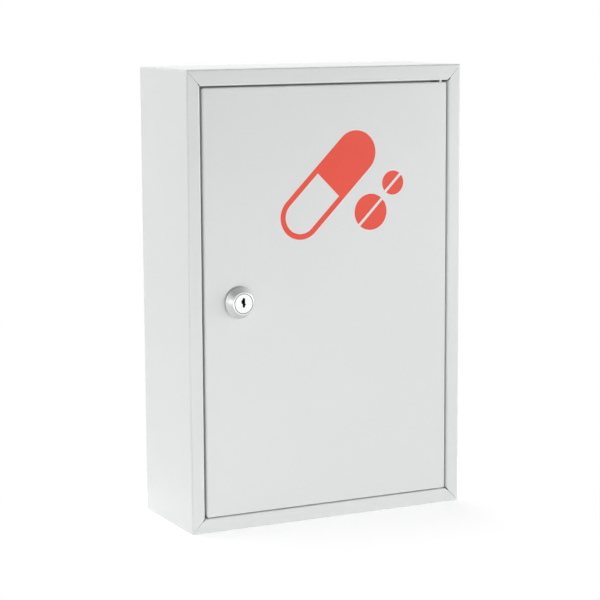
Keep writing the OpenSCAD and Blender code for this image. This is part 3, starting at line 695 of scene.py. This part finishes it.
def powder_coat(name, colour, roughness, peel_size, peel_depth):
    """Glossy powder coat: a slow drift of tone, and soft orange-peel bumps under the gloss."""
    return grained(name, colour, drift={"Amount": 0.03, "Scale": 9.0},
                   grain={"Scale": 1 / peel_size, "Detail": 1.0, "Roughness": 0.4},
                   roughness=(roughness - 0.03, roughness + 0.04), depth=peel_depth,
                   sockets={"IOR": 1.5})


def zinc_plate(name, colour):
    """Bright zinc plate: cloudy tone and a fine grain."""
    return grained(name, colour, drift={"Amount": 0.22, "Scale": 220.0},
                   grain={"Scale": 2500.0, "Detail": 3.0}, roughness=(0.30, 0.48),
                   depth=0.006 * MM, sockets={"Metallic": 1.0})


def plain_metal(name, colour, roughness):
    """A bare metal with a faint grain, for rivets and wafers."""
    return grained(name, colour, drift={"Amount": 0.12, "Scale": 260.0},
                   grain={"Scale": 1800.0, "Detail": 2.0},
                   roughness=(roughness - 0.06, roughness + 0.08), depth=0.005 * MM,
                   sockets={"Metallic": 1.0})


def natural_nylon(name, colour):
    """Moulded nylon: warm white, slightly milky, with a fine mould grain."""
    return grained(name, colour, drift={"Amount": 0.06, "Scale": 200.0},
                   grain={"Scale": 1500.0, "Detail": 2.0}, roughness=(0.42, 0.55),
                   depth=0.006 * MM, sockets={"IOR": 1.53})


def printing_ink(name, colour):
    """Screen-printed ink: an even colour with the faint grain that the screen leaves."""
    return grained(name, colour, drift={"Amount": 0.10, "Scale": 30.0},
                   grain={"Scale": 2200.0, "Detail": 1.0}, roughness=(0.34, 0.42),
                   depth=0.004 * MM, sockets={"IOR": 1.5})


def turned_chrome(name, colour, roughness, ring_depth, dark, recess):
    """Chrome on a turned part: fine rings about the axis, rougher where a ring is high, and painted
    shade of the dark colour in the recess, where shade falls."""
    material, tree, principled = new_material(name, {"Metallic": 1.0})
    shaded = use_group(tree, lock_recess_painted_shade(), Dark=(*dark, 1), **recess)
    tree.links.new(drifting(tree, colour, Amount=0.05, Scale=120.0), shaded.inputs["Colour"])
    tree.links.new(shaded.outputs["Colour"], principled.inputs["Base Color"])
    rings = use_group(tree, turned_rings(), Axis=LOCK_AXIS, Rings_per_metre=6000.0)
    wire_roughness(tree, principled, rings.outputs["Height"], roughness - 0.06, roughness + 0.08)
    wire_bump(tree, principled, rings.outputs["Height"], ring_depth)
    return material


def dress(nodes, material):
    """Gives CAD nodes a material in place of the plain one that they came with."""
    for name in nodes:
        slots = frame["nodes"][name].material_slots
        if not slots:
            frame["nodes"][name].data.materials.append(material)
        for used in slots:
            used.material = material


# ---- The studio ----

def make_floor(stage):
    """A flat square floor just under the cabinet: point (u, v) is (u, v, 0) times the floor's size.
    Looked at, or mirrored, it glows by floor_glow and fades to plain white with the distance from the
    cabinet, so that the cabinet's own shadow is all that shows on it. To anything else it gives
    floor_light at the cabinet's foot, which fades to nothing by floor_reach."""
    u = np.linspace(-0.5, 0.5, FLOOR_POINTS) * stage.floor_size
    level = np.full((FLOOR_POINTS, FLOOR_POINTS), FLOOR_Z - FLOOR_GAP)
    mesh = grid_mesh("floor", np.stack([*np.meshgrid(u, u, indexing="ij"), level], -1))
    floor = bpy.data.objects.new("floor", mesh)
    bpy.context.scene.collection.objects.link(floor)
    material, tree, principled = new_material("floor_paper", {"Roughness": 0.7, "Emission Color": WHITE})
    tone = (stage.floor_tone,) * 3
    tree.links.new(drifting(tree, tone, Amount=0.01, Scale=2.0), principled.inputs["Base Color"])
    path = add(tree, "ShaderNodeLightPath")
    seen = maths(tree, "MAXIMUM", path.outputs["Is Camera Ray"], path.outputs["Is Glossy Ray"])
    # The distance from the cabinet's box.
    middle, half = (CAD_BOX[0] + CAD_BOX[1]) / 2, (CAD_BOX[1] - CAD_BOX[0]) / 2
    local = vector_maths(tree, "SUBTRACT", object_place(tree), middle)
    beyond = vector_maths(tree, "SUBTRACT", vector_maths(tree, "ABSOLUTE", local), half)
    away = vector_maths(tree, "LENGTH", vector_maths(tree, "MAXIMUM", beyond, (0, 0, 0)))
    light = smooth_step(tree, away, 0, stage.floor_reach, stage.floor_light, 0)
    glow = add(tree, "ShaderNodeMix", [(0, seen), (2, light), (3, stage.floor_glow)])
    tree.links.new(glow.outputs[0], principled.inputs["Emission Strength"])
    share = maths(tree, "MULTIPLY", seen, smooth_step(tree, away, 0, stage.floor_fade, 0, 1))
    white = add(tree, "ShaderNodeEmission", [("Strength", 1.0)])
    mix = mixed_shaders(tree, share, principled, white)
    tree.links.new(mix.outputs[0], tree.nodes["Material Output"].inputs["Surface"])
    mesh.materials.append(material)


def make_world(stage):
    """Plain white where the camera looks, and for everything else light that rises from world_light
    to ceiling_light above and behind. A reflection shows a white surround, and a ceiling of
    ceiling_tone. Each changes with the dot product of the direction and towards."""
    world = bpy.data.worlds.new("surround")
    bpy.context.scene.world = world
    world.use_nodes = True
    tree = world.node_tree
    direction = add(tree, "ShaderNodeTexCoord").outputs["Generated"]

    def changing(low, high, towards, start, end):
        height = vector_maths(tree, "DOT_PRODUCT", direction, towards)
        return smooth_step(tree, height, start, end, low, high)

    light = tree.nodes["Background"]
    light.inputs["Color"].default_value = WHITE
    strength = changing(stage.world_light, stage.ceiling_light, **LIGHT_FADE)
    tree.links.new(strength, light.inputs["Strength"])
    mirrored = add(tree, "ShaderNodeBackground", [
        ("Color", WHITE), ("Strength", changing(1.0, stage.ceiling_tone, **MIRRORED_FADE))])
    white = add(tree, "ShaderNodeBackground", [("Color", WHITE), ("Strength", 1.0)])
    path = add(tree, "ShaderNodeLightPath")
    reflected = mixed_shaders(tree, path.outputs["Is Glossy Ray"], light, mirrored)
    through = maths(tree, "MAXIMUM", path.outputs["Is Camera Ray"], path.outputs["Is Transmission Ray"])
    mix = mixed_shaders(tree, through, reflected, white)
    tree.links.new(mix.outputs[0], tree.nodes["World Output"].inputs["Surface"])


def make_lights(stage):
    """Square area lights that stand round the cabinet, each turned to face a point, and unseen by the
    camera."""
    for (name, at, facing, size), power in zip(LAMPS, stage.lamp_power):
        data = bpy.data.lights.new(name, "AREA")
        data.shape, data.size, data.energy = "SQUARE", size, power
        lamp = bpy.data.objects.new(name, data)
        lamp.visible_camera = False
        lamp.location = at
        lamp.rotation_mode = "QUATERNION"
        lamp.rotation_quaternion = (Vector(facing) - Vector(at)).to_track_quat("-Z", "Y")
        bpy.context.scene.collection.objects.link(lamp)


def make_camera(stage):
    """The camera stands in front, to the left and a little above, as in the photograph. Its yaw is
    from +Y towards +X, its pitch is up from level, and its roll is about the way that it looks."""
    data = bpy.data.cameras.new("camera")
    data.sensor_width, data.lens = SENSOR_WIDTH, stage.lens
    data.clip_start, data.clip_end = CLIP_START, CLIP_END
    camera = bpy.data.objects.new("camera", data)
    yaw, pitch, roll = CAMERA_YAW, CAMERA_PITCH, CAMERA_ROLL
    ahead = Vector((math.sin(yaw) * math.cos(pitch), math.cos(yaw) * math.cos(pitch), math.sin(pitch)))
    level = Vector((math.cos(yaw), -math.sin(yaw), 0))
    upright = level.cross(ahead)
    right = math.cos(roll) * level + math.sin(roll) * upright
    up = math.cos(roll) * upright - math.sin(roll) * level
    turn = Matrix((right, up, -ahead)).transposed()
    camera.matrix_world = Matrix.Translation(CAMERA_PLACE) @ turn.to_4x4()
    bpy.context.scene.collection.objects.link(camera)
    bpy.context.scene.camera = camera


# ---- Steps ----

class CABINET_OT_paint_sheet_metal(bpy.types.Operator):
    """Powder-coat the wrapper, the back, the shelves and the door"""
    bl_idname = "cabinet.paint_sheet_metal"
    bl_label = "Paint the sheet metal"

    def execute(self, context):
        paint = context.scene.cabinet_paint
        dress(PAINTED, powder_coat(
            "powder_coat", paint.colour, paint.roughness, paint.peel_size, paint.peel_depth))
        return {"FINISHED"}


class CABINET_OT_finish_lock(bpy.types.Operator):
    """Plate the lock, its fixings and the pivot pins"""
    bl_idname = "cabinet.finish_lock"
    bl_label = "Plate the lock"

    def execute(self, context):
        lock = context.scene.cabinet_lock
        # The trim ring gets a painted shadow line along its foot, and the plug painted shade deep in the
        # lock.
        dress(("lock_trim_ring",), turned_chrome(
            "satin_chrome", lock.satin, lock.satin_roughness, lock.satin_depth, lock.shade,
            RING_FOOT_PAINTED_SHADOW))
        dress(("lock_plug",), turned_chrome(
            "bright_chrome", lock.bright, lock.bright_roughness, lock.bright_depth, lock.shade,
            PLUG_PAINTED_SHADE))
        dress(ZINC_PLATED, zinc_plate("zinc_plate", lock.zinc))
        # The wafers' brass, darkened as painted shade.
        dress(("lock_wafers",), plain_metal("wafer_brass", lock.brass, roughness=0.40))
        return {"FINISHED"}


class CABINET_OT_finish_fixings(bpy.types.Operator):
    """Finish the shelf rivets and the pivot bushes"""
    bl_idname = "cabinet.finish_fixings"
    bl_label = "Finish the fixings"

    def execute(self, context):
        fixings = context.scene.cabinet_fixings
        dress(("lower_shelf_rivets", "upper_shelf_rivets"),
              plain_metal("rivet_aluminium", fixings.aluminium, roughness=0.36))
        dress(("upper_hinge_bush", "lower_hinge_bush"), natural_nylon("natural_nylon", fixings.nylon))
        return {"FINISHED"}


class CABINET_OT_print_symbol(bpy.types.Operator):
    """Print the capsule and the two tablets on the door"""
    bl_idname = "cabinet.print_symbol"
    bl_label = "Print the symbol"

    def execute(self, context):
        s = context.scene.cabinet_symbol
        centre = np.array([s.centre_x, s.centre_z])
        inside = (s.capsule_length - 2 * s.line, s.capsule_width - 2 * s.line)
        # Each band is its outer outline, its inner one, its turn and its middle.
        bands = [
            (pill_outline(s.capsule_length, s.capsule_width), pill_outline(*inside), s.tilt, centre),
            (*half_pill(*inside), s.tilt, centre),
        ]
        for offset, size in TABLETS:
            half = half_disc(size, SCORE_SHARE * s.line)
            bands += [(*half, turn, centre + offset) for turn in (s.tilt, s.tilt + math.pi)]
        mesh = quad_mesh("printed_symbol", *joined([
            ink_band(turned(outer, turn, middle), turned(inner, turn, middle), s.ink_thickness)
            for outer, inner, turn, middle in bands]))
        place("printed_symbol", mesh, "door", printing_ink("red_ink", s.ink),
              smooth=False)
        return {"FINISHED"}


class CABINET_OT_turn_lock_housing(bpy.types.Operator):
    """Turn the lock's housing with the thread on its barrel"""
    bl_idname = "cabinet.turn_lock_housing"
    bl_label = "Turn the lock's housing"

    def execute(self, context):
        lock = context.scene.cabinet_lock
        mesh = quad_mesh("threaded_lock_housing", *joined([housing_surface(lock), lug_surface()]))
        mesh.set_sharp_from_angle(angle=SHARP_ANGLE)
        # The housing gets painted shade in its seat.
        chrome = turned_chrome(
            "housing_chrome", lock.bright, lock.bright_roughness, lock.bright_depth, lock.shade,
            SEAT_PAINTED_SHADE)
        piece = place("threaded_lock_housing", mesh, "door", chrome)
        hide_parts("lock_housing")
        return {"FINISHED"}


class CABINET_OT_mark_spot_welds(bpy.types.Operator):
    """Leave the marks of the spot welds inside the cabinet"""
    bl_idname = "cabinet.mark_spot_welds"
    bl_label = "Mark the spot welds"

    def execute(self, context):
        weld = context.scene.cabinet_weld
        # The inside of a sheet that lies on the cabinet's own.
        side_x = CAD_BOX[1].x - 2 * SHEET
        end_z = CAD_BOX[1].z - 2 * SHEET
        places = []
        for side in (-1, 1):
            for angles in ("lower_shelf_angles", "upper_shelf_angles"):
                low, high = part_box(angles)
                row = np.linspace(high.y - ANGLE_WELD_INSET, low.y + ANGLE_WELD_INSET, ANGLE_WELDS)
                places += [((side * side_x, y, low.z + ANGLE_WELD_RISE), (-side, 0, 0)) for y in row]
            places += [((side * side_x, FLANGE_WELD_Y, z), (-side, 0, 0)) for z in FLANGE_WELDS_Z]
            places += [((x, FLANGE_WELD_Y, side * end_z), (0, 0, -side)) for x in FLANGE_WELDS_X]
        mesh = quad_mesh("spot_welds", *weld_marks(places, weld.width, weld.rise))
        place("spot_welds", mesh, "cabinet", bpy.data.materials["powder_coat"])
        return {"FINISHED"}


class CABINET_OT_set_stage(bpy.types.Operator):
    """Make the floor, the soft lights, the white surround and the camera"""
    bl_idname = "cabinet.set_stage"
    bl_label = "Set the stage"

    def execute(self, context):
        stage = context.scene.cabinet_stage
        context.scene.view_settings.view_transform = "Standard"
        make_floor(stage)
        make_world(stage)
        make_lights(stage)
        make_camera(stage)
        return {"FINISHED"}


class CABINET_PT_steps(bpy.types.Panel):
    """The cabinet's settings and steps"""
    bl_idname = "CABINET_PT_steps"
    bl_label = "Medicine cabinet"
    bl_space_type = "VIEW_3D"
    bl_region_type = "UI"
    bl_category = "Cabinet"

    def draw(self, context):
        for step, settings in STEPS:
            box = self.layout.box()
            box.operator(step.bl_idname)
            group = getattr(context.scene, settings, None) if settings else None
            for key in (group.__annotations__ if group else ()):
                box.prop(group, key)


# Each step with the settings that the panel lists under it. The housing shares the lock's.
STEPS = (
    (CABINET_OT_paint_sheet_metal, "cabinet_paint"),
    (CABINET_OT_finish_lock, "cabinet_lock"),
    (CABINET_OT_finish_fixings, "cabinet_fixings"),
    (CABINET_OT_print_symbol, "cabinet_symbol"),
    (CABINET_OT_turn_lock_housing, None),
    (CABINET_OT_mark_spot_welds, "cabinet_weld"),
    (CABINET_OT_set_stage, "cabinet_stage"),
)
SETTINGS = {
    "cabinet_paint": PaintSettings, "cabinet_symbol": SymbolSettings,
    "cabinet_lock": LockSettings, "cabinet_fixings": FixingSettings,
    "cabinet_weld": WeldSettings, "cabinet_stage": StageSettings,
}
CLASSES = (*SETTINGS.values(), *(step for step, _ in STEPS), CABINET_PT_steps)


def register():
    for cls in CLASSES:
        bpy.utils.register_class(cls)
    for name, settings in SETTINGS.items():
        setattr(bpy.types.Scene, name, PointerProperty(type=settings))


def unregister():
    for name in SETTINGS:
        delattr(bpy.types.Scene, name)
    for cls in reversed(CLASSES):
        bpy.utils.unregister_class(cls)


def main():
    register()
    for step, _ in STEPS:
        group, action = step.bl_idname.split(".")
        getattr(getattr(bpy.ops, group), action)()


if __name__ == "__main__":
    main()
